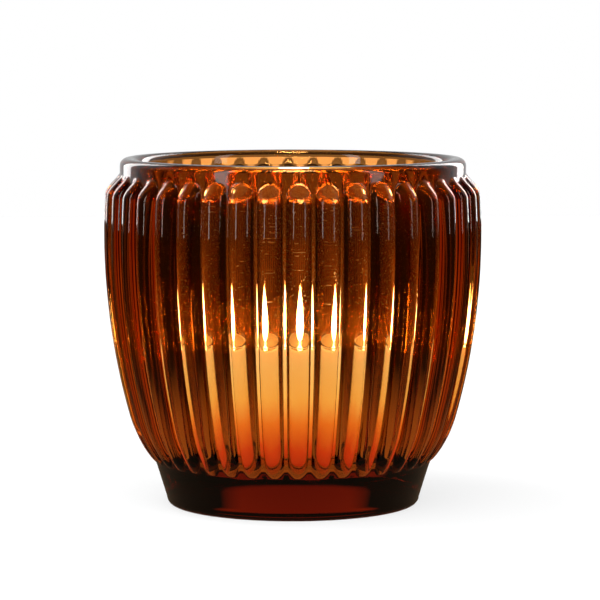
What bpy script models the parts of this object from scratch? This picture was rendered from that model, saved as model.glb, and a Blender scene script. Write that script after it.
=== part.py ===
"""Ribbed pressed-glass tealight holder with the tealight that stands in it.

Five solids: the glass cup (collar, ribbed bowl and foot, pressed in one piece) and a
tealight that lifts straight out of it: a clear cup, wax, a wick and a wick sustainer.
Metres, +Z up, origin at the centre of the foot's underside, a rib's crest on +X.
"""

from math import atan2, cos, hypot, pi, sin

import bpy

# Glass cup: driving sizes
HEIGHT = 0.0690
BELLY_RADIUS = 0.0375
BELLY_HEIGHT = 0.0540
RIM_WALL = 0.0036
RIM_ROUND = 0.0015
COLLAR_HEIGHT = 0.0030
COLLAR_STEP = 0.0006
BASE_THICKNESS = 0.0100
CAVITY_FULLNESS = 0.4
FOOT_HEIGHT = 0.0082
FOOT_TAPER = 0.0021
FOOT_ROUND = 0.0014
FOOT_WALL = 0.0078
PUSH_UP_DEPTH = 0.0012
REST_RING_WIDTH = 0.0045

# Ribs on the bowl
RIBS = 40
RIB_DEPTH = 0.0026
RIB_TOP_LENGTH = 0.0045
RIB_FOOT_LENGTH = 0.0090
RIB_FOOT_GAP = 0.0008

# Tealight
TEALIGHT_RADIUS = 0.0190
TEALIGHT_HEIGHT = 0.0235
CUP_WALL = 0.0006
CUP_LIP = 0.0005
CUP_LIP_HEIGHT = 0.0010
CUP_CORNER = 0.0012
WAX_DROP = 0.0006
WICK_RADIUS = 0.0007
WICK_STAND = 0.0050
WICK_LEAN = 0.0011
SUSTAINER_RADIUS = 0.0070
SUSTAINER_PLATE = 0.0005
SUSTAINER_NECK_RADIUS = 0.0016
SUSTAINER_NECK_HEIGHT = 0.0035

# Fits
FLOOR_CLEARANCE = 0.0005
SEAT_GAP = 0.0003

# Smoothness of the facets
COLUMNS_PER_RIB = 4
TEALIGHT_STEPS = 40
SUSTAINER_STEPS = 20
ARC_STEPS = 2
BOWL_STEPS = 3
CAVITY_STEPS = 6
WICK_STEPS = 4
WICK_RESOLUTION = 2
MERGE_DISTANCE = 0.00001
SHARP_ANGLE = 0.6

# Derived sizes of the glass cup
FLOOR_RADIUS = TEALIGHT_RADIUS + FLOOR_CLEARANCE
WAIST_RADIUS = FLOOR_RADIUS + FOOT_WALL
FOOT_RADIUS = WAIST_RADIUS - FOOT_TAPER
VALLEY_RADIUS = BELLY_RADIUS - RIB_DEPTH
COLLAR_RADIUS = VALLEY_RADIUS - COLLAR_STEP
COLLAR_BASE = HEIGHT - COLLAR_HEIGHT
RIM_INNER_RADIUS = COLLAR_RADIUS - RIM_WALL
RIB_FOOT = FOOT_HEIGHT + RIB_FOOT_GAP

# Derived sizes of the tealight, as heights above its own underside
TEALIGHT_SEAT = BASE_THICKNESS + SEAT_GAP
CUP_RADIUS = TEALIGHT_RADIUS - CUP_LIP
CUP_INNER_RADIUS = CUP_RADIUS - CUP_WALL
WAX_RADIUS = CUP_INNER_RADIUS - SEAT_GAP
WAX_BOTTOM = CUP_WALL + SEAT_GAP
WAX_TOP = TEALIGHT_HEIGHT - WAX_DROP
WICK_BORE = WICK_RADIUS + SEAT_GAP
PLATE_TOP = WAX_BOTTOM + SUSTAINER_PLATE
NECK_TOP = PLATE_TOP + SUSTAINER_NECK_HEIGHT
WICK_TOP = WAX_TOP + WICK_STAND


def arc(centre, radius, start, end):
    """Points of a circular arc in the radius-height plane, both ends included."""
    turn = (end - start) / ARC_STEPS
    angles = [start + turn * step for step in range(ARC_STEPS + 1)]
    return [(centre[0] + radius * cos(a), centre[1] + radius * sin(a)) for a in angles]


def swell(share):
    """Parabola that rises from 0 and levels out at 1."""
    return 1.0 - (1.0 - share) ** 2


def bowl_radius(z):
    """Radius of the bowl in the valleys between its ribs."""
    if z < BELLY_HEIGHT:
        share = (z - FOOT_HEIGHT) / (BELLY_HEIGHT - FOOT_HEIGHT)
        return WAIST_RADIUS + (VALLEY_RADIUS - WAIST_RADIUS) * swell(share)
    share = (z - BELLY_HEIGHT) / (COLLAR_BASE - BELLY_HEIGHT)
    return VALLEY_RADIUS - COLLAR_STEP * share ** 2


def cavity_radius(share):
    """Radius of the cavity at a share of the way up from its floor, round at the bottom."""
    return FLOOR_RADIUS + (RIM_INNER_RADIUS - FLOOR_RADIUS) * swell(share) ** CAVITY_FULLNESS


def rib_height(z):
    """How far a rib's crest stands out of the bowl, with a round top and a long lower end."""
    from_top = min(1.0, max(0.0, (COLLAR_BASE - z) / RIB_TOP_LENGTH))
    from_foot = min(1.0, max(0.0, (z - RIB_FOOT) / RIB_FOOT_LENGTH))
    return RIB_DEPTH * swell(from_top) ** 0.5 * swell(from_foot) ** 0.7


def bead(x, y):
    """Share of a rib's height at a place across its pitch: 1 on the crest, 0 in the valley."""
    turns = atan2(y, x) / (2.0 * pi)
    from_crest = (turns * RIBS + 0.5) % 1.0 - 0.5
    return max(0.0, 1.0 - (2.0 * from_crest) ** 2) ** 0.5


def rib_rows():
    """Heights of the bowl's rows of points, top to bottom, closest where the ribs end."""
    top_end = [
        COLLAR_BASE - RIB_TOP_LENGTH * (1.0 - cos(0.5 * pi * step / ARC_STEPS))
        for step in range(ARC_STEPS + 1)
    ]
    foot_end = [
        RIB_FOOT + RIB_FOOT_LENGTH * (1.0 - step / ARC_STEPS) ** 2
        for step in range(ARC_STEPS + 1)
    ]
    span = BELLY_HEIGHT - foot_end[0]
    bowl = [BELLY_HEIGHT - span * step / BOWL_STEPS for step in range(BOWL_STEPS)]
    return top_end + bowl + foot_end


def glass_profile():
    """Outline of the glass cup: cavity floor, cavity wall, rim, collar, bowl, foot, underside."""
    wall_span = HEIGHT - RIM_ROUND - BASE_THICKNESS
    wall = [(step / CAVITY_STEPS) ** 2 for step in range(CAVITY_STEPS)]
    lip_inner = (RIM_INNER_RADIUS + RIM_ROUND, HEIGHT - RIM_ROUND)
    lip_outer = (COLLAR_RADIUS - RIM_ROUND, HEIGHT - RIM_ROUND)
    foot_edge = (FOOT_RADIUS - FOOT_ROUND, FOOT_ROUND)
    ring_inner = FOOT_RADIUS - FOOT_ROUND - REST_RING_WIDTH
    return [
        (0.0, BASE_THICKNESS),
        *[(cavity_radius(share), BASE_THICKNESS + wall_span * share) for share in wall],
        *arc(lip_inner, RIM_ROUND, pi, 0.5 * pi),
        *arc(lip_outer, RIM_ROUND, 0.5 * pi, 0.0),
        *[(bowl_radius(z), z) for z in rib_rows()],
        (WAIST_RADIUS, FOOT_HEIGHT),
        *arc(foot_edge, FOOT_ROUND, 0.0, -0.5 * pi),
        (ring_inner, 0.0),
        (ring_inner - PUSH_UP_DEPTH, PUSH_UP_DEPTH),
        (0.0, PUSH_UP_DEPTH),
    ]


def tealight_cup_profile():
    """Outline of the clear cup: floor, wall, rolled-out lip, outer wall, underside."""
    inner_corner = CUP_CORNER - CUP_WALL
    lip_bottom = TEALIGHT_HEIGHT - CUP_LIP_HEIGHT
    return [
        (0.0, CUP_WALL),
        *arc((CUP_INNER_RADIUS - inner_corner, CUP_CORNER), inner_corner, -0.5 * pi, 0.0),
        (CUP_INNER_RADIUS, TEALIGHT_HEIGHT),
        (TEALIGHT_RADIUS, TEALIGHT_HEIGHT),
        (TEALIGHT_RADIUS, lip_bottom),
        (CUP_RADIUS, lip_bottom - CUP_LIP),
        *arc((CUP_RADIUS - CUP_CORNER, CUP_CORNER), CUP_CORNER, 0.0, -0.5 * pi),
        (0.0, 0.0),
    ]


def wax_profile():
    """Closed outline of the wax, hollow for the sustainer below and the wick through it."""
    plate_hollow = SUSTAINER_RADIUS + SEAT_GAP
    neck_hollow = SUSTAINER_NECK_RADIUS + SEAT_GAP
    corner = CUP_CORNER - CUP_WALL
    return [
        (WICK_BORE, WAX_TOP),
        (WAX_RADIUS, WAX_TOP),
        *arc((WAX_RADIUS - corner, WAX_BOTTOM + corner), corner, 0.0, -0.5 * pi),
        (plate_hollow, WAX_BOTTOM),
        (plate_hollow, PLATE_TOP + SEAT_GAP),
        (neck_hollow, PLATE_TOP + SEAT_GAP),
        (neck_hollow, NECK_TOP + SEAT_GAP),
        (WICK_BORE, NECK_TOP + SEAT_GAP),
    ]


def sustainer_profile():
    """Closed outline of the sustainer: a thin plate with a neck that grips the wick."""
    return [
        (WICK_BORE, NECK_TOP),
        (SUSTAINER_NECK_RADIUS, NECK_TOP),
        (SUSTAINER_NECK_RADIUS, PLATE_TOP),
        (SUSTAINER_RADIUS, PLATE_TOP),
        (SUSTAINER_RADIUS, WAX_BOTTOM),
        (WICK_BORE, WAX_BOTTOM),
    ]


def material(name, colour, roughness, metallic=0.0, transmission=0.0):
    """Principled material with one colour."""
    finish = bpy.data.materials.new(name)
    finish.use_nodes = True
    shader = finish.node_tree.nodes["Principled BSDF"]
    shader.inputs["Base Color"].default_value = (*colour, 1.0)
    shader.inputs["Roughness"].default_value = roughness
    shader.inputs["Metallic"].default_value = metallic
    shader.inputs["Transmission Weight"].default_value = transmission
    finish.diffuse_color = (*colour, 1.0)
    return finish


def add_object(name, data, collection, finish, parent=None):
    """Object for some mesh or curve data, linked to a collection and given its material."""
    data.materials.append(finish)
    piece = bpy.data.objects.new(name, data)
    piece.parent = parent
    collection.objects.link(piece)
    return piece


def turned_mesh(name, profile, steps, closed=False):
    """Mesh of a profile in the XZ plane turned once round +Z by a Screw modifier."""
    edges = [(i, i + 1) for i in range(len(profile) - 1)]
    if closed:
        edges.append((len(profile) - 1, 0))
    outline = bpy.data.meshes.new(name + "_outline")
    outline.from_pydata([(radius, 0.0, z) for radius, z in profile], edges, [])
    blank = bpy.data.objects.new(name + "_blank", outline)
    bpy.context.scene.collection.objects.link(blank)
    screw = blank.modifiers.new("Turn", "SCREW")
    screw.axis = "Z"
    screw.steps = steps
    screw.render_steps = steps
    screw.use_merge_vertices = True
    screw.merge_threshold = MERGE_DISTANCE
    graph = bpy.context.evaluated_depsgraph_get()
    mesh = bpy.data.meshes.new_from_object(blank.evaluated_get(graph))
    bpy.data.objects.remove(blank)
    bpy.data.meshes.remove(outline)
    mesh.name = name
    mesh.shade_smooth()
    mesh.set_sharp_from_angle(angle=SHARP_ANGLE)
    return mesh


def raise_ribs(mesh):
    """Move the points of the bowl's outer wall out to the ribs' rounded surface."""
    for vertex in mesh.vertices:
        x, y, z = vertex.co
        radius = hypot(x, y)
        mid_wall = 0.5 * (bowl_radius(z) + cavity_radius(z))
        if radius < mid_wall or not RIB_FOOT < z < COLLAR_BASE:
            continue
        stretch = 1.0 + rib_height(z) * bead(x, y) / radius
        vertex.co.x = x * stretch
        vertex.co.y = y * stretch


def make_glass_cup(collection):
    """The pressed glass: the one piece that stands on the table."""
    mesh = turned_mesh("glass_cup", glass_profile(), RIBS * COLUMNS_PER_RIB)
    raise_ribs(mesh)
    finish = material("amber_glass", (0.48, 0.19, 0.03), 0.04, transmission=0.9)
    add_object("glass_cup", mesh, collection, finish)


def make_tealight_cup(collection, seat):
    """The clear plastic cup that holds the wax."""
    mesh = turned_mesh("tealight_cup", tealight_cup_profile(), TEALIGHT_STEPS)
    finish = material("clear_plastic", (0.93, 0.94, 0.93), 0.08, transmission=0.9)
    add_object("tealight_cup", mesh, collection, finish, seat)


def make_wax(collection, seat):
    """The wax, cast to the cup."""
    mesh = turned_mesh("wax", wax_profile(), TEALIGHT_STEPS, closed=True)
    finish = material("wax", (0.93, 0.90, 0.82), 0.45)
    add_object("wax", mesh, collection, finish, seat)


def make_sustainer(collection, seat):
    """The metal plate that keeps the wick upright on the cup's floor."""
    mesh = turned_mesh("wick_sustainer", sustainer_profile(), SUSTAINER_STEPS, closed=True)
    finish = material("tinned_steel", (0.72, 0.72, 0.70), 0.35, metallic=1.0)
    add_object("wick_sustainer", mesh, collection, finish, seat)


def make_wick(collection, seat):
    """The cotton wick, straight through the wax and leaning where it burns."""
    stand = [step / WICK_STEPS for step in range(WICK_STEPS + 1)]
    points = [(0.0, 0.0, WAX_BOTTOM)]
    points += [(WICK_LEAN * share ** 2, 0.0, WAX_TOP + WICK_STAND * share) for share in stand]
    curve = bpy.data.curves.new("wick", "CURVE")
    curve.dimensions = "3D"
    curve.bevel_depth = WICK_RADIUS
    curve.bevel_resolution = WICK_RESOLUTION
    curve.use_fill_caps = True
    spline = curve.splines.new("POLY")
    spline.points.add(len(points) - 1)
    for point, place in zip(spline.points, points):
        point.co = (*place, 1.0)
    finish = material("charred_cotton", (0.12, 0.10, 0.08), 0.9)
    add_object("wick", curve, collection, finish, seat)


def make_seat(collection):
    """Empty on the cup's axis where the tealight stands: the tealight lifts along its +Z."""
    seat = bpy.data.objects.new("tealight_lift", None)
    seat.location.z = TEALIGHT_SEAT
    collection.objects.link(seat)
    return seat


def main():
    """Clear the scene and build the holder and its tealight."""
    for old in list(bpy.data.objects):
        bpy.data.objects.remove(old)
    collection = bpy.data.collections.new("tealight_holder")
    bpy.context.scene.collection.children.link(collection)
    make_glass_cup(collection)
    seat = make_seat(collection)
    make_tealight_cup(collection, seat)
    make_wax(collection, seat)
    make_sustainer(collection, seat)
    make_wick(collection, seat)


main()
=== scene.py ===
"""Looks of a ribbed pressed-glass tealight holder with a lit tealight standing in it.

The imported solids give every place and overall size. The glass, the tealight's cup, the
wax, the wick and its sustainer are rebuilt here as fine meshes with procedural
materials, and the flame and the pool of melted wax are added to them.
Metres, +Z up; the origin is at the centre of the foot's underside.
"""

import logging
from dataclasses import dataclass, field
from enum import Enum
from math import atan2, cos, pi, radians, sin, sqrt
from typing import Any, Sequence

import bmesh
import bpy
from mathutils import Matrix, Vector


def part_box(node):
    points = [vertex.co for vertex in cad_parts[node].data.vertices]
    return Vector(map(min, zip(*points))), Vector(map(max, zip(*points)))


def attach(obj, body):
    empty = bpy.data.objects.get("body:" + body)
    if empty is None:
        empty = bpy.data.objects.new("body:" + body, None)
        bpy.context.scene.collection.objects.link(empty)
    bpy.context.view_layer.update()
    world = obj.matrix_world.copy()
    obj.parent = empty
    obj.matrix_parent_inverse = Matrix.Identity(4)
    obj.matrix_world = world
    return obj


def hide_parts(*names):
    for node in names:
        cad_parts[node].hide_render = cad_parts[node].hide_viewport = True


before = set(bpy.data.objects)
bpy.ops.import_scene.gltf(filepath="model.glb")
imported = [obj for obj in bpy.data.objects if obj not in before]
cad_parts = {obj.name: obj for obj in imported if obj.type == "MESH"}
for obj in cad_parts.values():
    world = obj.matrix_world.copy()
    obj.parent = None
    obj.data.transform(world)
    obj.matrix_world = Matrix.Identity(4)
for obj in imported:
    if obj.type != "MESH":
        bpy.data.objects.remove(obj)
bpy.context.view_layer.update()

log = logging.getLogger("tealight_holder")

MM = 0.001
Profile = list[tuple[float, float]]
Colour = tuple[float, float, float]
Stops = Sequence[tuple[float, Colour]]


class Body(str, Enum):
    """The rigid bodies that the pieces ride on."""

    HOLDER = "holder"
    TEALIGHT = "tealight"


class Slot(str, Enum):
    """The record's material slots."""

    GLASS = "amber_glass"
    CUP = "clear_plastic"
    WAX = "wax"
    WICK = "wick_cotton"
    STEEL = "tinned_steel"


# ---------------------------------------------------------------- node trees


class Value:
    """A node's output socket that Python's arithmetic works on."""

    def __init__(self, graph: "Graph", socket: bpy.types.NodeSocket) -> None:
        """Wrap a socket of a graph."""
        self.graph = graph
        self.socket = socket

    def math(self, operation: str, *others: Any) -> "Value":
        """Add a Math node whose first input is this value."""
        inputs = dict(enumerate((self, *others)))
        return self.graph.node("ShaderNodeMath", {"operation": operation}, inputs)

    def __add__(self, other: Any) -> "Value":
        """Sum."""
        return self.math("ADD", other)

    __radd__ = __add__

    def __mul__(self, other: Any) -> "Value":
        """Product."""
        return self.math("MULTIPLY", other)

    def __sub__(self, other: Any) -> "Value":
        """Difference."""
        return self.math("SUBTRACT", other)

    def __rsub__(self, other: Any) -> "Value":
        """Difference from a number."""
        return (self * -1.0) + other

    def __truediv__(self, other: Any) -> "Value":
        """Quotient."""
        return self.math("DIVIDE", other)

    def __pow__(self, other: float) -> "Value":
        """Power."""
        return self.math("POWER", other)

    def clamped(self) -> "Value":
        """The value held between 0 and 1."""
        return self.graph.node("ShaderNodeClamp", {}, {"Value": self})


class Graph:
    """Builds one node tree."""

    def __init__(self, tree: bpy.types.NodeTree, output_kind: str) -> None:
        """Work on a tree and give it an output node of a kind."""
        self.tree = tree
        self.output = tree.nodes.new(output_kind)

    def node(
        self,
        kind: str,
        settings: dict[str, Any] | None = None,
        inputs: dict[str | int, Any] | None = None,
        output: str | int = 0,
    ) -> Value:
        """Add a node, set it up, feed its sockets and return one of its outputs.

        Args:
            kind: The node's type name.
            settings: Properties, set before any socket is touched.
            inputs: Values or links for its input sockets, by name or place.
            output: The output socket to return, by name or place.

        Returns:
            The chosen output, ready for arithmetic.
        """
        made = self.tree.nodes.new(kind)
        for key, value in (settings or {}).items():
            setattr(made, key, value)
        for key, value in (inputs or {}).items():
            self.feed(made.inputs[key], value)
        return Value(self, made.outputs[output])

    def feed(self, socket: bpy.types.NodeSocket, value: Any) -> None:
        """Link a Value to an input socket, or set the socket to a plain value.

        Args:
            socket: The input socket.
            value: A Value to link, or a number, colour or vector to set.
        """
        if isinstance(value, Value):
            self.tree.links.new(value.socket, socket)
        elif isinstance(value, tuple) and socket.type == "RGBA" and len(value) == 3:
            socket.default_value = (*value, 1.0)
        else:
            socket.default_value = value

    def show(self, value: Value, socket: str = "Surface") -> None:
        """Send a shader or geometry to one of the output node's sockets."""
        self.feed(self.output.inputs[socket], value)

    def principled(
        self, inputs: dict[str, Any], settings: dict[str, Any] | None = None
    ) -> None:
        """Make a Principled shader with these inputs and settings the surface."""
        self.show(self.node("ShaderNodeBsdfPrincipled", settings, inputs))

    def ramp(self, factor: Value, stops: Stops) -> Value:
        """Colour Ramp with the given stops.

        Args:
            factor: Where on the ramp to read, from 0 to 1.
            stops: Pairs of place and colour, in rising order.

        Returns:
            The colour.
        """
        colour = self.node("ShaderNodeValToRGB", {}, {"Fac": factor})
        elements = colour.socket.node.color_ramp.elements
        while len(elements) < len(stops):
            elements.new(1.0)
        for element, (place, tone) in zip(elements, stops):
            element.position = place
            element.color = (*tone, 1.0)
        return colour

    def mix(self, factor: Any, first: Any, second: Any) -> Value:
        """Mix two colours."""
        inputs = {0: factor, 6: first, 7: second}
        return self.node("ShaderNodeMix", {"data_type": "RGBA"}, inputs, 2)

    def noise(self, place: Value, scale: float, detail: float = 2.0) -> Value:
        """Noise between 0 and 1 at a place; the scale is in cells per metre."""
        inputs = {"Vector": place, "Scale": scale, "Detail": detail}
        return self.node("ShaderNodeTexNoise", {}, inputs, "Fac")

    def coordinates(self, kind: str = "Object") -> Value:
        """Object coordinates, in metres, or another kind of texture coordinates."""
        return self.node("ShaderNodeTexCoord", {}, {}, kind)

    def axis(self, place: Value, name: str) -> Value:
        """One coordinate of a place."""
        return self.node("ShaderNodeSeparateXYZ", {}, {0: place}, name)

    def stretched(self, place: Value, scale: Colour) -> Value:
        """A place with its axes scaled."""
        return self.node("ShaderNodeMapping", {}, {"Vector": place, "Scale": scale})

    def bump(self, height: Value, depth: float, under: Value | None = None) -> Value:
        """Bump from a height.

        Args:
            height: The height, from 0 to 1.
            depth: The depth of the relief in metres.
            under: Another normal that the bump lies on.

        Returns:
            The normal.
        """
        inputs: dict[str | int, Any] = {"Height": height, "Distance": depth, "Strength": 1.0}
        if under is not None:
            inputs["Normal"] = under
        return self.node("ShaderNodeBump", {}, inputs)

    def radius(self, place: Value) -> Value:
        """Distance of a place from the Z axis."""
        x, y = self.axis(place, "X"), self.axis(place, "Y")
        return (x * x + y * y) ** 0.5


def new_material(name: str) -> tuple[bpy.types.Material, Graph]:
    """Empty node material.

    Args:
        name: The material's name.

    Returns:
        The material and its graph.
    """
    made = bpy.data.materials.new(name)
    made.use_nodes = True
    made.node_tree.nodes.clear()
    return made, Graph(made.node_tree, "ShaderNodeOutputMaterial")


# ------------------------------------------------------------------ finishes


@dataclass(frozen=True)
class AmberGlass:
    """Clear amber pressed glass, fire-polished, a little uneven on the plunger's side.

    Part of its colour is a tint of the surface, and the rest deepens with thickness.
    """

    name: str = "amber_glass"
    ior: float = 1.52
    roughness: float = 0.012
    tint: Colour = (0.98, 0.70, 0.36)
    absorbed: Colour = (0.25, 0.53, 0.98)
    density: float = 215.0
    ripple_scale: float = 190.0
    ripple_depth: float = 0.03 * MM
    grain_scale: float = 5200.0
    grain_stretch: tuple[float, float, float] = (3.0, 3.0, 0.6)
    grain_depth: float = 0.002 * MM
    grain_elsewhere: float = 0.05
    speck_level: float = 0.63
    speck_contrast: float = 14.0
    speck_roughness: float = 0.36
    worn_bottom: float = 36.0 * MM
    worn_top: float = 64.0 * MM
    fade_bottom: float = 6.0 * MM
    fade_top: float = 3.0 * MM

    def material(self) -> bpy.types.Material:
        """Glass with mould ripple, and with fine grain and dull specks on the worn inside.

        Returns:
            The material.
        """
        made, graph = new_material(self.name)
        place = graph.coordinates()
        inner = graph.node("ShaderNodeAttribute", {"attribute_name": "plunger_side"}, {}, "Fac")
        height = graph.axis(place, "Z")
        risen = ((height - self.worn_bottom) / self.fade_bottom).clamped()
        worn = inner * risen * ((self.worn_top - height) / self.fade_top).clamped()
        ripple = graph.noise(graph.stretched(place, (1.0, 1.0, 0.3)), self.ripple_scale, 1.0)
        grain = graph.noise(graph.stretched(place, self.grain_stretch), self.grain_scale)
        specks = ((grain - self.speck_level) * self.speck_contrast).clamped()
        share = worn * (1.0 - self.grain_elsewhere) + self.grain_elsewhere
        relief = graph.bump(ripple, self.ripple_depth)
        graph.principled(
            {
                "Base Color": self.tint,
                "Roughness": worn * specks * self.speck_roughness + self.roughness,
                "IOR": self.ior,
                "Transmission Weight": 1.0,
                "Normal": graph.bump(grain * share, self.grain_depth, relief),
            },
            {"distribution": "GGX"},
        )
        kept = tuple(1.0 - part for part in self.absorbed)
        stain = {"Color": kept, "Density": self.density}
        graph.show(graph.node("ShaderNodeVolumeAbsorption", {}, stain), "Volume")
        return made


@dataclass(frozen=True)
class ClearPlastic:
    """Thin clear moulded cup."""

    name: str = "clear_plastic"
    flow_scale: float = 900.0
    scuff_scale: float = 4200.0

    def material(self) -> bpy.types.Material:
        """Glossy clear plastic with faint flow marks.

        Returns:
            The material.
        """
        made, graph = new_material(self.name)
        place = graph.coordinates()
        flow = graph.noise(graph.stretched(place, (1.0, 1.0, 0.15)), self.flow_scale)
        graph.principled({
            "Base Color": (0.97, 0.98, 0.97),
            "Roughness": graph.noise(place, self.scuff_scale, 3.0) * 0.08 + 0.03,
            "IOR": 1.49,
            "Transmission Weight": 1.0,
            "Normal": graph.bump(flow, 0.01 * MM),
        })
        return made


@dataclass(frozen=True)
class GlowingWax:
    """Paraffin wax with a painted glow, brightest at the top, that stands in for the light of its
    own flame shining through it.
    """

    bottom: float
    top: float
    name: str = "glowing_wax"
    cloud_scale: float = 260.0
    cloud_drift: float = 0.12
    grain_scale: float = 3800.0
    strength: float = 1.5
    # colours of the painted glow, from the foot of the wax up to its top
    glow: Stops = (
        (0.0, (0.42, 0.025, 0.002)), (0.13, (0.58, 0.05, 0.004)), (0.35, (0.86, 0.32, 0.06)),
        (0.57, (1.0, 0.80, 0.38)), (1.0, (1.0, 1.0, 0.86)),
    )

    def material(self) -> bpy.types.Material:
        """Translucent cream wax whose painted glow fades and reddens downwards.

        Returns:
            The material.
        """
        made, graph = new_material(self.name)
        place = graph.coordinates()
        height = (graph.axis(place, "Z") - self.bottom) / (self.top - self.bottom)
        cloud = graph.noise(place, self.cloud_scale, 3.0)
        grain = graph.noise(place, self.grain_scale)
        level = (height + (cloud - 0.5) * self.cloud_drift).clamped()
        graph.principled({
            "Base Color": graph.mix(cloud, (0.56, 0.47, 0.33), (0.64, 0.56, 0.42)),
            "Roughness": grain * 0.15 + 0.35,
            "Subsurface Weight": 0.6,
            "Subsurface Scale": 6.0 * MM,
            # painted light: this emission stands in for the flame's light shining through the wax
            "Emission Color": graph.ramp(level, self.glow),
            "Emission Strength": self.strength,
            "Normal": graph.bump(grain, 0.008 * MM),
        })
        return made


@dataclass(frozen=True)
class MeltedWax:
    """The hot clear pool on the wax."""

    radius: float
    name: str = "melted_wax"
    swirl_scale: float = 300.0
    swirl_drift: float = 0.1
    # colours of the painted glow, from the wick out to the pool's edge
    glow: Stops = (
        (0.0, (1.0, 0.93, 0.74)), (0.5, (1.0, 0.86, 0.58)), (1.0, (0.95, 0.70, 0.38)),
    )

    def material(self) -> bpy.types.Material:
        """Glossy liquid that mirrors the flame, with a painted glow, strongest near the wick, that
        stands in for the flame's light on it.

        Returns:
            The material.
        """
        made, graph = new_material(self.name)
        place = graph.coordinates()
        reach = (graph.radius(place) / self.radius).clamped()
        swirl = graph.noise(place, self.swirl_scale)
        level = (reach + (swirl - 0.5) * self.swirl_drift).clamped()
        graph.principled({
            "Base Color": (0.08, 0.06, 0.035),
            "Roughness": swirl * 0.03 + 0.01,
            "IOR": 1.44,
            # painted light: this emission stands in for the flame lighting the pool
            "Emission Color": graph.ramp(level, self.glow),
            "Emission Strength": 1.0,
            "Normal": graph.bump(swirl, 0.01 * MM),
        })
        return made


@dataclass(frozen=True)
class FlameLight:
    """The candle flame: dim at the wick, white above, orange at the tip."""

    bottom: float
    top: float
    name: str = "flame_light"
    strength: float = 85.0
    flicker_scale: float = 500.0
    flicker: float = 0.06
    glow: Stops = (
        (0.0, (0.45, 0.40, 0.42)), (0.08, (0.80, 0.60, 0.40)), (0.25, (1.0, 0.96, 0.9)),
        (0.8, (1.0, 0.96, 0.88)), (1.0, (0.9, 0.5, 0.2)),
    )

    def material(self) -> bpy.types.Material:
        """Glow by height, with a faint flicker in its colour.

        Returns:
            The material.
        """
        made, graph = new_material(self.name)
        place = graph.coordinates()
        height = (graph.axis(place, "Z") - self.bottom) / (self.top - self.bottom)
        waver = graph.noise(graph.stretched(place, (1.0, 1.0, 0.3)), self.flicker_scale, 1.0)
        level = (height + (waver - 0.5) * self.flicker).clamped()
        graph.principled({
            "Base Color": (0.0, 0.0, 0.0),
            "Roughness": 1.0,
            "Specular IOR Level": 0.0,
            "Emission Color": graph.ramp(level, self.glow),
            "Emission Strength": self.strength,
        })
        return made


@dataclass(frozen=True)
class WickCotton:
    """Braided cotton, waxed below and charred above."""

    char_start: float
    char_end: float
    name: str = "wick_cotton"
    fibre_scale: float = 9000.0
    fibre_drift: float = 0.3
    char: Stops = (
        (0.0, (0.62, 0.52, 0.36)), (0.25, (0.08, 0.055, 0.035)), (1.0, (0.012, 0.01, 0.01)),
    )
    ember: Stops = ((0.0, (0.0, 0.0, 0.0)), (0.9, (0.0, 0.0, 0.0)), (1.0, (1.0, 0.2, 0.03)))

    def material(self) -> bpy.types.Material:
        """Cotton that darkens upwards and glows a little at its tip.

        Returns:
            The material.
        """
        made, graph = new_material(self.name)
        place = graph.coordinates()
        span = self.char_end - self.char_start
        height = ((graph.axis(place, "Z") - self.char_start) / span).clamped()
        fibre = graph.noise(graph.stretched(place, (1.0, 1.0, 0.25)), self.fibre_scale, 4.0)
        level = (height + (fibre - 0.5) * self.fibre_drift).clamped()
        graph.principled({
            "Base Color": graph.ramp(level, self.char),
            "Roughness": fibre * 0.2 + 0.75,
            "Emission Color": graph.ramp(height, self.ember),
            "Emission Strength": 1.2,
            "Normal": graph.bump(fibre, 0.05 * MM),
        })
        return made


@dataclass(frozen=True)
class TinnedSteel:
    """Stamped tinned steel of the wick sustainer."""

    name: str = "tinned_steel"
    line_scale: float = 6000.0
    stain_scale: float = 700.0

    def material(self) -> bpy.types.Material:
        """Dull bright metal with rolling lines and a few darker stains.

        Returns:
            The material.
        """
        made, graph = new_material(self.name)
        place = graph.coordinates()
        lines = graph.noise(graph.stretched(place, (0.06, 1.0, 1.0)), self.line_scale, 3.0)
        stain = graph.noise(place, self.stain_scale, 4.0)
        graph.principled({
            "Base Color": graph.mix(stain, (0.74, 0.74, 0.72), (0.58, 0.56, 0.52)),
            "Metallic": 1.0,
            "Roughness": lines * 0.2 + 0.25,
            "Normal": graph.bump(lines, 0.006 * MM),
        })
        return made


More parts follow.
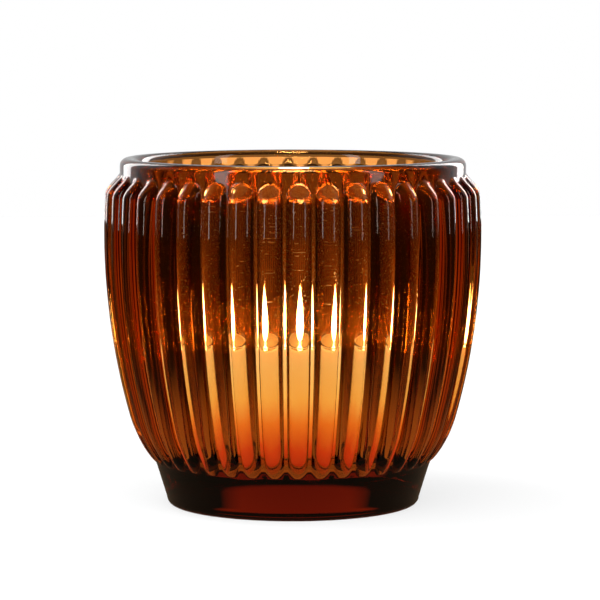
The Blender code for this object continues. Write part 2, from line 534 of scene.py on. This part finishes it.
@dataclass(frozen=True)
class StudioPaper:
    """Plain pale paper for the floor; through the glass it shows painted light in bands, as a lit
    table would.

    A band is a pair: a share of the paper's reach, and the painted brightness there.
    """

    reach: float
    name: str = "studio_paper"
    tone: Colour = (0.93, 0.93, 0.93)
    near: tuple[tuple[float, float], ...] = (
        (0.0, 0.34), (0.08, 0.31), (0.14, 0.14), (0.18, 0.02), (1.0, 0.012),
    )
    behind: tuple[tuple[float, float], ...] = (
        (0.3, 0.0), (0.36, 0.14), (0.6, 0.11), (0.66, 0.64), (1.0, 0.72),
    )
    behind_width: float = 0.65
    behind_edge: float = 4.0
    warmth: Colour = (1.0, 0.68, 0.42)
    seen_through: float = 2.0
    mirrored: float = 0.3

    def material(self) -> bpy.types.Material:
        """Matte white to the eye; to the glass, painted light, bright round the foot and far
        behind.

        Returns:
            The material.
        """
        made, graph = new_material(self.name)
        glossy, refracted = (
            graph.node("ShaderNodeLightPath", {}, {}, name)
            for name in ("Is Glossy Ray", "Is Transmission Ray")
        )
        place = graph.coordinates()
        distance = graph.radius(place)
        near, behind = (
            graph.ramp(distance / self.reach, [(share, (level,) * 3) for share, level in bands])
            for bands in (self.near, self.behind)
        )
        ahead = (graph.axis(place, "Y") / distance - self.behind_width) * self.behind_edge
        lit = near + behind * ahead.clamped()
        level = (refracted * (self.seen_through - self.mirrored) + self.mirrored) * lit
        pale = graph.node("ShaderNodeBsdfDiffuse", {}, {"Color": self.tone, "Roughness": 1.0})
        # painted light: emission that the glass sees and mirrors in place of a lit table
        painted_bands = graph.node("ShaderNodeEmission", {}, {"Color": self.warmth, "Strength": level})
        graph.show(graph.node("ShaderNodeMixShader", {}, {0: glossy, 1: pale, 2: painted_bands}))
        return made


# -------------------------------------------------------------- mesh helpers


def arc(
    centre: tuple[float, float], radius: float, start: float, end: float, steps: int
) -> Profile:
    """Points along an arc.

    Args:
        centre: The arc's centre.
        radius: Its radius.
        start: The first point's angle, in radians.
        end: The last point's angle.
        steps: How many steps lie between them.

    Returns:
        The points, both ends included.
    """
    turn = (end - start) / steps
    return [
        (centre[0] + radius * cos(start + turn * i), centre[1] + radius * sin(start + turn * i))
        for i in range(steps + 1)
    ]


def grid_mesh(name: str, rows: list[list[Vector]], wrap: bool) -> bpy.types.Mesh:
    """Mesh of rows of points joined by quads, welded where points meet.

    Args:
        name: The mesh's name.
        rows: Rows of equal length; each runs anticlockwise seen from above, and the
            rows run down the outer side.
        wrap: Whether each row closes on itself.

    Returns:
        The mesh, smooth shaded.
    """
    shell = bmesh.new()
    grid = [[shell.verts.new(point) for point in row] for row in rows]
    count = len(rows[0])
    for upper, lower in zip(grid, grid[1:]):
        for i in range(count if wrap else count - 1):
            j = (i + 1) % count
            shell.faces.new((upper[i], lower[i], lower[j], upper[j]))
    bmesh.ops.remove_doubles(shell, verts=shell.verts, dist=1e-7)
    bmesh.ops.dissolve_degenerate(shell, edges=shell.edges, dist=1e-8)
    mesh = bpy.data.meshes.new(name)
    shell.to_mesh(mesh)
    shell.free()
    mesh.shade_smooth()
    return mesh


def turned_mesh(name: str, profile: Profile, steps: int) -> bpy.types.Mesh:
    """Mesh of a profile turned once round the Z axis.

    Args:
        name: The mesh's name.
        profile: Radius and height pairs that run down the outer side.
        steps: Steps in the turn.

    Returns:
        The mesh, smooth shaded.
    """
    angles = [2.0 * pi * i / steps for i in range(steps)]
    rows = [[Vector((r * cos(a), r * sin(a), z)) for a in angles] for r, z in profile]
    return grid_mesh(name, rows, wrap=True)


def add_piece(
    mesh: bpy.types.Mesh,
    material: bpy.types.Material,
    body: Body,
    stands_for: str | None = None,
) -> None:
    """Put a finished mesh in the scene as a piece of the object, under its own name.

    Args:
        mesh: The piece's mesh, already in place.
        material: Its only material.
        body: The body it rides on.
        stands_for: The CAD node that it replaces.
    """
    piece = bpy.data.objects.new(mesh.name, mesh)
    mesh.materials.clear()
    mesh.materials.append(material)
    bpy.context.scene.collection.objects.link(piece)
    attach(piece, body.value)
    if stands_for is not None:
        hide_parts(stands_for)
    log.info("%s: %d faces, rides on %s", mesh.name, len(mesh.polygons), body.value)


def applied(blank: bpy.types.Object, name: str) -> bpy.types.Mesh:
    """Plain mesh of an object with its modifiers.

    Args:
        blank: The object, which is removed.
        name: The new mesh's name.

    Returns:
        The mesh.
    """
    bpy.context.view_layer.update()
    graph = bpy.context.evaluated_depsgraph_get()
    mesh = bpy.data.meshes.new_from_object(blank.evaluated_get(graph))
    mesh.name = name
    bpy.data.objects.remove(blank)
    return mesh


def ring_tree(name: str) -> bpy.types.NodeTree:
    """Geometry Nodes tree that repeats a wedge round the Z axis and welds the copies.

    Args:
        name: The tree's name.

    Returns:
        A tree with inputs Geometry, Count, Weld and Material.
    """
    tree = bpy.data.node_groups.new(name, "GeometryNodeTree")
    for socket, kind in (
        ("Geometry", "Geometry"), ("Count", "Int"), ("Weld", "Float"), ("Material", "Material"),
    ):
        tree.interface.new_socket(socket, in_out="INPUT", socket_type=f"NodeSocket{kind}")
    tree.interface.new_socket("Geometry", in_out="OUTPUT", socket_type="NodeSocketGeometry")
    graph = Graph(tree, "NodeGroupOutput")
    source = graph.node("NodeGroupInput", {}, {}, "Geometry").socket.node
    wedge, count, weld, material = [Value(graph, source.outputs[i]) for i in range(4)]
    points = graph.node("GeometryNodePoints", {}, {"Count": count})
    turn = graph.node("GeometryNodeInputIndex") * (2.0 * pi) / count
    rotation = graph.node("ShaderNodeCombineXYZ", {}, {"Z": turn})
    spread = {"Points": points, "Instance": wedge, "Rotation": rotation}
    copies = graph.node("GeometryNodeInstanceOnPoints", {}, spread)
    solid = graph.node("GeometryNodeRealizeInstances", {}, {"Geometry": copies})
    welded = graph.node("GeometryNodeMergeByDistance", {}, {"Geometry": solid, "Distance": weld})
    smooth = graph.node("GeometryNodeSetShadeSmooth", {}, {"Geometry": welded})
    dressed = {"Geometry": smooth, "Material": material}
    graph.show(graph.node("GeometryNodeSetMaterial", {}, dressed), "Geometry")
    return tree


def set_inputs(modifier: bpy.types.NodesModifier, **values: Any) -> None:
    """Set a Geometry Nodes modifier's inputs by their identifiers.

    Args:
        modifier: The modifier.
        **values: Values by the inputs' names, in lower case.
    """
    wanted = {key.replace("_", " ").title(): value for key, value in values.items()}
    for item in modifier.node_group.interface.items_tree:
        if item.in_out == "INPUT" and item.name in wanted:
            modifier[item.identifier] = wanted[item.name]


# ------------------------------------------------------------ sub-assemblies


@dataclass
class RibShape:
    """Cross-section of one rib, in shares of half the ribs' pitch.

    A round bead stands on the bowl with a small fillet at each foot and a narrow
    flat between it and the next one.
    """

    bead: float = 0.86
    rise: float = 0.08
    fillet: float = 0.07
    bead_steps: int = 7
    fillet_steps: int = 2

    def outline(self) -> list[tuple[float, float]]:
        """Places across the pitch, from valley to valley.

        Returns:
            Pairs of (place from -1 to 1, height in half pitches).
        """
        reach = self.bead + self.fillet
        foot = sqrt(reach ** 2 - (self.fillet - self.rise) ** 2)
        tilt = atan2(self.fillet - self.rise, foot)
        bead = arc((0.0, self.rise), self.bead, tilt, 0.5 * pi, self.bead_steps)
        hollow = arc((foot, self.fillet), self.fillet, -0.5 * pi, -pi + tilt, self.fillet_steps)
        right = [(1.0, 0.0), *hollow, *bead[1:]]
        left = [(-place, height) for place, height in right]
        return left + list(reversed(right[:-1]))

    @property
    def height(self) -> float:
        """Height of the crest in half pitches."""
        return self.bead + self.rise


@dataclass
class GlassCup:
    """The pressed glass cup: collar, ribbed bowl, foot and cavity in one piece."""

    height: float
    belly_radius: float
    ribs: int = 40
    rib: RibShape = field(default_factory=RibShape)
    belly_height: float = 54.0 * MM
    rim_wall: float = 3.6 * MM
    rim_round: float = 1.5 * MM
    collar_height: float = 3.0 * MM
    collar_step: float = 0.6 * MM
    base_thickness: float = 10.0 * MM
    floor_radius: float = 19.5 * MM
    cavity_fullness: float = 0.4
    waist_radius: float = 27.3 * MM
    waist_fillet: float = 0.7 * MM
    foot_height: float = 8.2 * MM
    foot_taper: float = 2.1 * MM
    foot_round: float = 1.4 * MM
    rest_ring: float = 4.5 * MM
    push_up: float = 1.2 * MM
    rib_top_length: float = 4.2 * MM
    rib_top_margin: float = 1.05
    rib_top_ease: float = 1.3
    rib_foot_length: float = 9.0 * MM
    rib_foot_gap: float = 0.6 * MM
    rib_foot_ease: float = 0.7
    waist_share: float = 0.6
    rib_steps: int = 20
    floor_steps: int = 4
    wall_steps: int = 22
    rim_steps: int = 6
    side_steps: int = 6
    edge_steps: int = 7
    dome_steps: int = 8
    bowl_fullness: float = 0.93
    edge_softness: float = 0.05
    weld: float = 2e-6

    def __post_init__(self) -> None:
        """Work out the sizes that follow from the others."""
        self.half_pitch = pi / self.ribs
        self.columns = self.rib.outline()
        grown = 1.0 + self.rib.height * pi / self.ribs
        self.valley_radius = self.belly_radius / grown
        self.collar_radius = self.valley_radius - self.collar_step
        self.collar_base = self.height - self.collar_height
        self.rim_inner_radius = self.collar_radius - self.rim_wall
        self.foot_radius = self.waist_radius - self.foot_taper

    def bowl_radius(self, z: float) -> float:
        """Radius in the valleys between the ribs.

        Args:
            z: The height.

        Returns:
            The radius.
        """
        if z < self.belly_height:
            share = (z - self.foot_height) / (self.belly_height - self.foot_height)
            swell = (1.0 - (1.0 - share) ** 2) ** self.bowl_fullness
            return self.waist_radius + (self.valley_radius - self.waist_radius) * swell
        share = (z - self.belly_height) / (self.collar_base - self.belly_height)
        return self.valley_radius - self.collar_step * share ** 2

    def rib_share(self, z: float) -> float:
        """How far the ribs stand out.

        Args:
            z: The height.

        Returns:
            The share of their full height: 0 at their ends, 1 between.
        """
        from_top = min(1.0, max(0.0, (self.collar_base - z) / self.rib_top_length))
        rib_foot = self.foot_height + self.rib_foot_gap
        from_foot = min(1.0, max(0.0, (z - rib_foot) / self.rib_foot_length))
        rise = (1.0 - (1.0 - from_foot) ** 2) ** self.rib_foot_ease
        return sin(0.5 * pi * from_top) ** self.rib_top_ease * rise

    def bead_height(self, height: float, share: float) -> float:
        """Height of a place on a rib that is sunk into the bowl.

        Args:
            height: The place's height on a full rib, in half pitches.
            share: The share of the rib's full height that still stands out.

        Returns:
            The height left, softly cut off at the bowl.
        """
        if share <= 0.0:
            return 0.0
        crest = self.rib.height
        left = height - crest * (1.0 - share)
        soft = self.edge_softness * (1.0 - share)
        return 0.5 * (left + sqrt(left * left + soft * soft))

    def rib_rows(self) -> list[float]:
        """Heights of the ribbed rows, closest together at the ribs' ends.

        Returns:
            The heights, top to bottom.
        """
        steps = self.rib_steps
        reach = self.rib_top_length * self.rib_top_margin
        top = [self.collar_base - reach * i / steps for i in range(steps + 1)]
        foot_top = self.foot_height + self.rib_foot_gap + self.rib_foot_length
        drop = self.foot_height + self.waist_fillet * self.waist_share - foot_top
        foot = [foot_top + drop * sin(0.5 * pi * i / steps) for i in range(steps + 1)]
        middle = [top[-1] + (foot_top - top[-1]) * i / steps for i in range(1, steps)]
        return top + middle + foot

    def inside(self) -> Profile:
        """Outline of the cavity.

        Returns:
            Points from its centre to the top of the lip.
        """
        lip = (self.rim_inner_radius + self.rim_round, self.height - self.rim_round)
        steps = self.floor_steps
        floor = [(self.floor_radius * i / steps, self.base_thickness) for i in range(steps)]
        wall = []
        for i in range(self.wall_steps):
            share = (i / self.wall_steps) ** 2
            swell = (1.0 - (1.0 - share) ** 2) ** self.cavity_fullness
            radius = self.floor_radius + swell * (self.rim_inner_radius - self.floor_radius)
            wall.append((radius, self.base_thickness + (lip[1] - self.base_thickness) * share))
        return [*floor, *wall, *arc(lip, self.rim_round, pi, 0.5 * pi, self.rim_steps)]

    def below_ribs(self) -> Profile:
        """Outline of the foot and underside.

        Returns:
            Points from the waist to the centre.
        """
        edge = (self.foot_radius - self.foot_round, self.foot_round)
        ring_inner = edge[0] - self.rest_ring
        taper_top = self.foot_height - self.waist_fillet
        slope = self.foot_taper / (self.foot_height - self.foot_round)
        side = []
        for i in range(self.side_steps):
            z = taper_top + (self.foot_round - taper_top) * i / self.side_steps
            side.append((self.waist_radius - (self.foot_height - z) * slope, z))
        angles = [0.5 * pi * i / self.dome_steps for i in range(1, self.dome_steps)]
        dome = [(ring_inner * cos(a), self.push_up * sin(a)) for a in angles]
        rounded = arc(edge, self.foot_round, 0.0, -0.5 * pi, self.edge_steps)
        return [*side, *rounded, (ring_inner, 0.0), *dome, (0.0, self.push_up)]

    def row(self, radius: float, z: float, share: float) -> list[Vector]:
        """Points across one wedge.

        Args:
            radius: The bowl's radius.
            z: The height.
            share: How far the rib stands out.

        Returns:
            The points, from valley to valley.
        """
        points = []
        for place, height in self.columns:
            angle = place * self.half_pitch
            out = radius * (1.0 + self.bead_height(height, share) * self.half_pitch)
            points.append(Vector((out * cos(angle), out * sin(angle), z)))
        return points

    def wedge(self) -> bpy.types.Object:
        """One rib's share of the whole cup.

        Returns:
            A thin wedge centred on +X, marked where the plunger shaped it.
        """
        lip = (self.collar_radius - self.rim_round, self.height - self.rim_round)
        inside = self.inside()
        above = inside + arc(lip, self.rim_round, 0.5 * pi, 0.0, self.rim_steps)[1:]
        rows = [
            *(self.row(radius, z, 0.0) for radius, z in above),
            *(self.row(self.bowl_radius(z), z, self.rib_share(z)) for z in self.rib_rows()),
            *(self.row(radius, z, 0.0) for radius, z in self.below_ribs()),
        ]
        mesh = bpy.data.meshes.new("glass_wedge")
        width = len(self.columns)
        faces = []
        for upper in range(len(rows) - 1):
            for i in range(width - 1):
                a, b = upper * width + i, (upper + 1) * width + i
                faces.append((a, b, b + 1, a + 1))
        mesh.from_pydata([point for row in rows for point in row], [], faces)
        inner = mesh.attributes.new("plunger_side", "FLOAT", "POINT")
        marks = [1.0 if i < len(inside) * width else 0.0 for i in range(len(mesh.vertices))]
        inner.data.foreach_set("value", marks)
        blank = bpy.data.objects.new("glass_wedge", mesh)
        bpy.context.scene.collection.objects.link(blank)
        return blank

    def build(self) -> None:
        """Repeat the wedge round the axis and dress the cup in amber glass."""
        blank = self.wedge()
        glass = AmberGlass().material()
        ring = blank.modifiers.new("Ribs", "NODES")
        ring.node_group = ring_tree("rib_ring")
        set_inputs(ring, count=self.ribs, weld=self.weld, material=glass)
        mesh = applied(blank, "pressed_glass_cup")
        add_piece(mesh, glass, Body.HOLDER, "glass_cup")


@dataclass
class Tealight:
    """The lit tealight: clear cup, wax, melted pool, wick, sustainer and flame."""

    seat: float
    radius: float
    height: float
    steps: int = 96
    cup_wall: float = 0.6 * MM
    cup_lip: float = 0.5 * MM
    lip_height: float = 1.0 * MM
    corner: float = 1.2 * MM
    gap: float = 0.15 * MM
    wax_drop: float = 0.6 * MM
    wax_round: float = 0.6 * MM
    wax_bore_gap: float = 0.05 * MM
    bed_border: float = 0.8 * MM
    bed_dish: float = 0.25 * MM
    pool_depth: float = 0.9 * MM
    pool_drop: float = 0.25 * MM
    pool_edge: float = 0.5 * MM
    pool_under: float = 0.5 * MM
    meniscus: float = 0.25 * MM
    climb_decay: float = 2.7
    wick_climb: float = 1.6
    wick_climb_width: float = 0.6 * MM
    edge_climb_width: float = 0.8 * MM
    wick_gap: float = 0.03 * MM
    wick_radius: float = 0.75 * MM
    wick_stand: float = 4.6 * MM
    wick_lean: float = 1.1 * MM
    wick_twists: float = 7.0
    wick_thinning: float = 0.35
    strand_orbit: float = 0.42
    strand_girth: float = 0.55
    sustainer_radius: float = 7.0 * MM
    sustainer_plate: float = 0.5 * MM
    sustainer_steps: int = 48
    stiffener: float = 0.72
    neck_radius: float = 1.6 * MM
    neck_height: float = 3.5 * MM
    flame_start: float = 0.05 * MM
    flame_length: float = 10.6 * MM
    flame_radius: float = 4.8 * MM

    def __post_init__(self) -> None:
        """Work out the places that follow from the sizes."""
        self.cup_radius = self.radius - self.cup_lip
        self.inner_radius = self.cup_radius - self.cup_wall
        self.wax_radius = self.inner_radius - self.gap
        self.wax_bottom = self.seat + self.cup_wall + self.gap
        self.wax_top = self.seat + self.height - self.wax_drop
        self.plate_top = self.wax_bottom + self.sustainer_plate
        self.neck_top = self.plate_top + self.neck_height
        self.flame_bottom = self.wax_top + self.flame_start
        self.flame_top = self.flame_bottom + self.flame_length

    def cup_profile(self) -> Profile:
        """Outline of the clear cup.

        Returns:
            Points from its inner floor, over the lip, to its underside.
        """
        top = self.seat + self.height
        floor = self.seat + self.cup_wall
        inner_corner = self.corner - self.cup_wall
        half_lip = 0.5 * self.cup_lip
        inner = (self.inner_radius - inner_corner, self.seat + self.corner)
        outer = (self.cup_radius - self.corner, self.seat + self.corner)
        lip_inner = (self.inner_radius + half_lip, top - half_lip)
        lip_outer = (self.radius - half_lip, top - half_lip)
        return [
            (0.0, floor),
            *arc(inner, inner_corner, -0.5 * pi, 0.0, 4),
            *arc(lip_inner, half_lip, pi, 0.5 * pi, 4),
            *arc(lip_outer, half_lip, 0.5 * pi, 0.0, 4),
            (self.radius, top - self.lip_height),
            (self.cup_radius + 0.2 * self.cup_lip, top - self.lip_height - 0.8 * self.cup_lip),
            (self.cup_radius, top - self.lip_height - 1.6 * self.cup_lip),
            *arc(outer, self.corner, 0.0, -0.5 * pi, 6),
            (0.0, self.seat),
        ]

    def wax_profile(self) -> Profile:
        """Outline of the wax.

        Returns:
            Points down the pool's bed, edge, side and underside and up the wick's hole.
        """
        bore = self.wick_radius + self.wax_bore_gap
        bed = self.wax_top - self.pool_depth
        edge = self.wax_radius - self.pool_edge
        lip = 0.5 * self.pool_edge
        side, steps = self.wax_round, 6
        reach = edge - self.bed_border - bore
        bed_points = [
            (bore + reach * i / steps, bed - self.bed_dish * cos(0.5 * pi * i / steps))
            for i in range(steps + 1)
        ]
        plate = self.sustainer_radius + self.gap
        neck = self.neck_radius + self.gap
        return [
            (bore, self.neck_top + self.gap),
            *bed_points,
            (edge, self.wax_top - 0.2 * MM),
            *arc((self.wax_radius - lip, self.wax_top - lip), lip, 0.5 * pi, 0.0, 4),
            *arc((self.wax_radius - side, self.wax_bottom + side), side, 0.0, -0.5 * pi, 4),
            (plate, self.wax_bottom),
            (plate, self.plate_top + self.gap),
            (neck, self.plate_top + self.gap),
            (neck, self.neck_top + self.gap),
            (bore, self.neck_top + self.gap),
        ]

    def pool_profile(self) -> Profile:
        """Outline of the melted pool.

        Returns:
            Points along its surface, which climbs at the wick and the edge, and back below.
        """
        bore = self.wick_radius + self.wick_gap
        edge = self.wax_radius - self.pool_edge - 0.05 * MM
        level = self.wax_top - self.pool_drop
        surface, steps = [], 24
        for i in range(steps + 1):
            radius = bore + (edge - bore) * i / steps
            from_wick = self.climb_decay ** (-(radius - bore) / self.wick_climb_width)
            from_edge = self.climb_decay ** (-(edge - radius) / self.edge_climb_width)
            climb_in = self.meniscus * self.wick_climb * from_wick
            surface.append((radius, level + climb_in + self.meniscus * from_edge))
        start = (bore, level - self.pool_under)
        return [start, *surface, (edge - 0.1 * MM, level - 0.3 * MM), start]

    def sustainer_profile(self) -> Profile:
        """Outline of the sustainer.

        Returns:
            Points down its crimped neck, over the plate and its stiffening ring, and back.
        """
        bore = self.wick_radius + self.wick_gap
        ring = self.stiffener * self.sustainer_radius
        neck_foot = (self.neck_radius + 0.4 * MM, self.plate_top + 0.5 * MM)
        return [
            (bore, self.neck_top),
            (self.neck_radius - 0.3 * MM, self.neck_top),
            (self.neck_radius - 0.1 * MM, self.neck_top - 0.3 * MM),
            (self.neck_radius - 0.1 * MM, self.plate_top + 0.5 * MM),
            *arc(neck_foot, 0.5 * MM, pi, 1.5 * pi, 4),
            (ring - 0.5 * MM, self.plate_top),
            *arc((ring, self.plate_top - 0.1 * MM), 0.25 * MM, 0.85 * pi, 0.15 * pi, 5),
            (ring + 0.5 * MM, self.plate_top),
            (self.sustainer_radius - 0.1 * MM, self.plate_top),
            (self.sustainer_radius, self.plate_top - 0.1 * MM),
            (self.sustainer_radius, self.wax_bottom + 0.1 * MM),
            (self.sustainer_radius - 0.1 * MM, self.wax_bottom),
            (bore, self.wax_bottom),
            (bore, self.neck_top),
        ]

    def flame_mesh(self) -> bpy.types.Mesh:
        """Teardrop of light that leans a little and draws out to a fine tip.

        Returns:
            The mesh.
        """
        rows = []
        tall, round_steps = 40, 32
        for i in range(tall + 1):
            share = 1.0 - i / tall
            girth = sin(pi * share ** 0.62) ** 0.9 * (1.0 - 0.30 * share) if 0 < i < tall else 0.0
            radius = self.flame_radius * girth
            centre_x = 0.5 * MM * (1.0 - share) - 0.1 * MM + 0.45 * MM * share ** 2
            z = self.flame_bottom + self.flame_length * share
            rows.append([
                Vector((centre_x + radius * cos(a), radius * sin(a), z))
                for a in (2.0 * pi * k / round_steps for k in range(round_steps))
            ])
        return grid_mesh("flame", rows, wrap=True)

    def wick_mesh(self) -> bpy.types.Mesh:
        """Three strands twisted together, leaning and curling where they burn.

        Returns:
            The mesh.
        """
        strands, around, along = 3, 8, 60
        start, end = self.wax_bottom, self.wax_top + self.wick_stand
        shell = bmesh.new()
        for strand in range(strands):
            rings, centres = [], []
            for i in range(along + 1):
                share = 1.0 - i / along
                z = start + (end - start) * share
                above = max(0.0, (z - self.wax_top) / self.wick_stand)
                taper = 1.0 - self.wick_thinning * max(0.0, above - 0.6) / 0.4
                phase = 2.0 * pi * (self.wick_twists * share + strand / strands)
                orbit = self.strand_orbit * self.wick_radius * taper
                lean = -self.wick_lean * above ** 2
                centre = Vector((lean + orbit * cos(phase), orbit * sin(phase), z))
                girth = self.strand_girth * self.wick_radius * taper
                centres.append(centre)
                rings.append([
                    centre + Vector((girth * cos(a), girth * sin(a), 0.0))
                    for a in (2.0 * pi * k / around for k in range(around))
                ])
            rows = [[centres[0]] * around, *rings, [centres[-1]] * around]
            strand_mesh = grid_mesh("strand", rows, wrap=True)
            shell.from_mesh(strand_mesh)
            bpy.data.meshes.remove(strand_mesh)
        mesh = bpy.data.meshes.new("braided_wick")
        shell.to_mesh(mesh)
        shell.free()
        mesh.shade_smooth()
        return mesh

    def build(self) -> None:
        """Build and dress every piece of the tealight, in order."""
        cup = turned_mesh("clear_tealight_cup", self.cup_profile(), self.steps)
        wax = turned_mesh("cast_wax", self.wax_profile(), self.steps)
        pool = turned_mesh("melted_pool", self.pool_profile(), self.steps)
        plate = turned_mesh("crimped_sustainer", self.sustainer_profile(), self.sustainer_steps)
        glowing = GlowingWax(bottom=self.wax_bottom, top=self.wax_top)
        melted = MeltedWax(radius=self.wax_radius)
        cotton = WickCotton(char_start=self.wax_top, char_end=self.wax_top + self.wick_stand)
        fire = FlameLight(bottom=self.flame_bottom, top=self.flame_top)
        body = Body.TEALIGHT
        add_piece(cup, ClearPlastic().material(), body, "tealight_cup")
        add_piece(wax, glowing.material(), body, "wax")
        add_piece(pool, melted.material(), body)
        add_piece(self.wick_mesh(), cotton.material(), body, "wick")
        add_piece(plate, TinnedSteel().material(), body, "wick_sustainer")
        add_piece(self.flame_mesh(), fire.material(), body)


# -------------------------------------------------------------------- studio


@dataclass(frozen=True)
class Card:
    """A far bright card with soft edges, placed by its direction; angles in degrees.

    The azimuth is 0 behind the holder, along +Y, and grows towards +X.
    """

    azimuth: float
    elevation: float
    half_width: float
    half_height: float
    brightness: float
    softness: float = 1.5
    squareness: float = 4.0

    def glow(self, graph: Graph, direction: Value) -> Value:
        """Brightness that the card gives.

        Args:
            graph: The tree to build in.
            direction: The direction looked in.

        Returns:
            The brightness.
        """
        turn = radians(self.azimuth)
        x, y, z = (graph.axis(direction, name) for name in "XYZ")
        ahead = (x * sin(turn) + y * cos(turn)).math("GREATER_THAN", 0.0)
        across = (x * cos(turn) - y * sin(turn)) / sin(radians(self.half_width))
        up = (z - sin(radians(self.elevation))) / sin(radians(self.half_height))
        inside = self.softness - across ** self.squareness - up ** self.squareness
        return inside.clamped() * ahead * self.brightness


@dataclass
class Studio:
    """Floor, soft lights and camera."""

    distance: float = 0.628
    azimuth: float = -1.85
    camera_height: float = 0.1017
    aim: tuple[float, float] = (1.4 * MM, 40.6 * MM)
    lens: float = 190.0
    floor_size: float = 1.6
    ambient: float = 0.35
    dim_room: float = 0.012
    seen_through: tuple[Card, ...] = tuple(
        Card(azimuth, elevation=4.0, half_width=width, half_height=9.0, brightness=level)
        for azimuth, width, level in (
            (0.0, 27.0, 1.8), (90.0, 14.0, 0.6), (180.0, 27.0, 0.2), (-90.0, 14.0, 0.6),
        )
    )
    mirrored: tuple[Card, ...] = tuple(
        Card(azimuth, elevation=10.0, half_width=width, half_height=30.0, brightness=level)
        for azimuth, width, level in (
            (0.0, 60.0, 0.6), (-34.0, 8.0, 4.0), (34.0, 8.0, 5.0), (-130.0, 5.0, 3.0),
            (125.0, 5.0, 2.0),
        )
    )

    def floor(self) -> None:
        """Large flat sheet of pale paper."""
        half = 0.5 * self.floor_size
        mesh = bpy.data.meshes.new("floor")
        corners = [(-half, -half, 0.0), (half, -half, 0.0), (half, half, 0.0), (-half, half, 0.0)]
        mesh.from_pydata(corners, [], [(0, 1, 2, 3)])
        mesh.materials.append(StudioPaper(reach=half).material())
        sheet = bpy.data.objects.new("floor", mesh)
        bpy.context.scene.collection.objects.link(sheet)

    def softbox(
        self, name: str, place: Sequence[float], side: float, power: float, shadow: bool
    ) -> None:
        """Square soft light that faces the holder and lights only matte surfaces.

        Args:
            name: The lamp's name.
            place: Where it hangs.
            side: Its width and height.
            power: Its power in watts.
            shadow: Whether it casts shadows.
        """
        lamp = bpy.data.lights.new(name, "AREA")
        lamp.size = side
        lamp.energy = power
        lamp.use_shadow = shadow
        light = bpy.data.objects.new(name, lamp)
        light.location = place
        light.rotation_euler = (-Vector(place)).to_track_quat("-Z", "Y").to_euler()
        light.visible_glossy = False
        light.visible_transmission = False
        bpy.context.scene.collection.objects.link(light)

    def camera(self) -> None:
        """Long lens, a little above the rim."""
        data = bpy.data.cameras.new("camera")
        data.lens = self.lens
        data.clip_start = 0.01
        turn = radians(self.azimuth)
        place = Vector((self.distance * sin(turn), -self.distance * cos(turn), self.camera_height))
        aim = Vector((self.aim[0] * cos(turn), self.aim[0] * sin(turn), self.aim[1]))
        camera = bpy.data.objects.new("camera", data)
        camera.location = place
        camera.rotation_euler = (aim - place).to_track_quat("-Z", "Y").to_euler()
        bpy.context.scene.collection.objects.link(camera)
        bpy.context.scene.camera = camera

    def world(self) -> None:
        """White surround; the glass sees a dim room with bright cards round it."""
        world = bpy.data.worlds.new("studio")
        world.use_nodes = True
        world.node_tree.nodes.clear()
        graph = Graph(world.node_tree, "ShaderNodeOutputWorld")
        direction = graph.coordinates("Generated")
        straight, glossy, refracted = (
            graph.node("ShaderNodeLightPath", {}, {}, name)
            for name in ("Is Camera Ray", "Is Glossy Ray", "Is Transmission Ray")
        )
        through, mirror = (
            sum((card.glow(graph, direction) for card in cards), start=self.dim_room)
            for cards in (self.seen_through, self.mirrored)
        )
        strength = (
            straight
            + refracted * through
            + glossy * (1.0 - refracted) * mirror
            + (1.0 - straight) * (1.0 - glossy) * (1.0 - refracted) * self.ambient
        )
        white = {"Color": (1.0, 1.0, 1.0), "Strength": strength}
        graph.show(graph.node("ShaderNodeBackground", {}, white))
        bpy.context.scene.world = world

    def build(self) -> None:
        """Set up the studio and the way the picture is developed."""
        self.floor()
        self.world()
        self.softbox("fill_light", (-0.3, -0.2, 2.4), 1.4, 58.0, shadow=False)
        self.softbox("key_light", (-0.9, 0.1, 1.8), 0.9, 5.0, shadow=True)
        self.camera()
        scene = bpy.context.scene
        scene.view_settings.view_transform = "Standard"
        scene.cycles.use_denoising = True
        scene.cycles.max_bounces = 32
        scene.cycles.transmission_bounces = 32
        scene.cycles.glossy_bounces = 16
        scene.cycles.caustics_refractive = False
        scene.cycles.caustics_reflective = False
        scene.cycles.sample_clamp_indirect = 20.0


def main() -> None:
    """Build the studio, the glass and the tealight in order."""
    logging.basicConfig(level=logging.INFO, format="%(name)s: %(message)s")
    Studio().build()
    low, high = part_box("glass_cup")
    GlassCup(height=high.z, belly_radius=high.x).build()
    low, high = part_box("tealight_cup")
    Tealight(seat=low.z, radius=high.x, height=high.z - low.z).build()


if __name__ == "__main__":
    main()
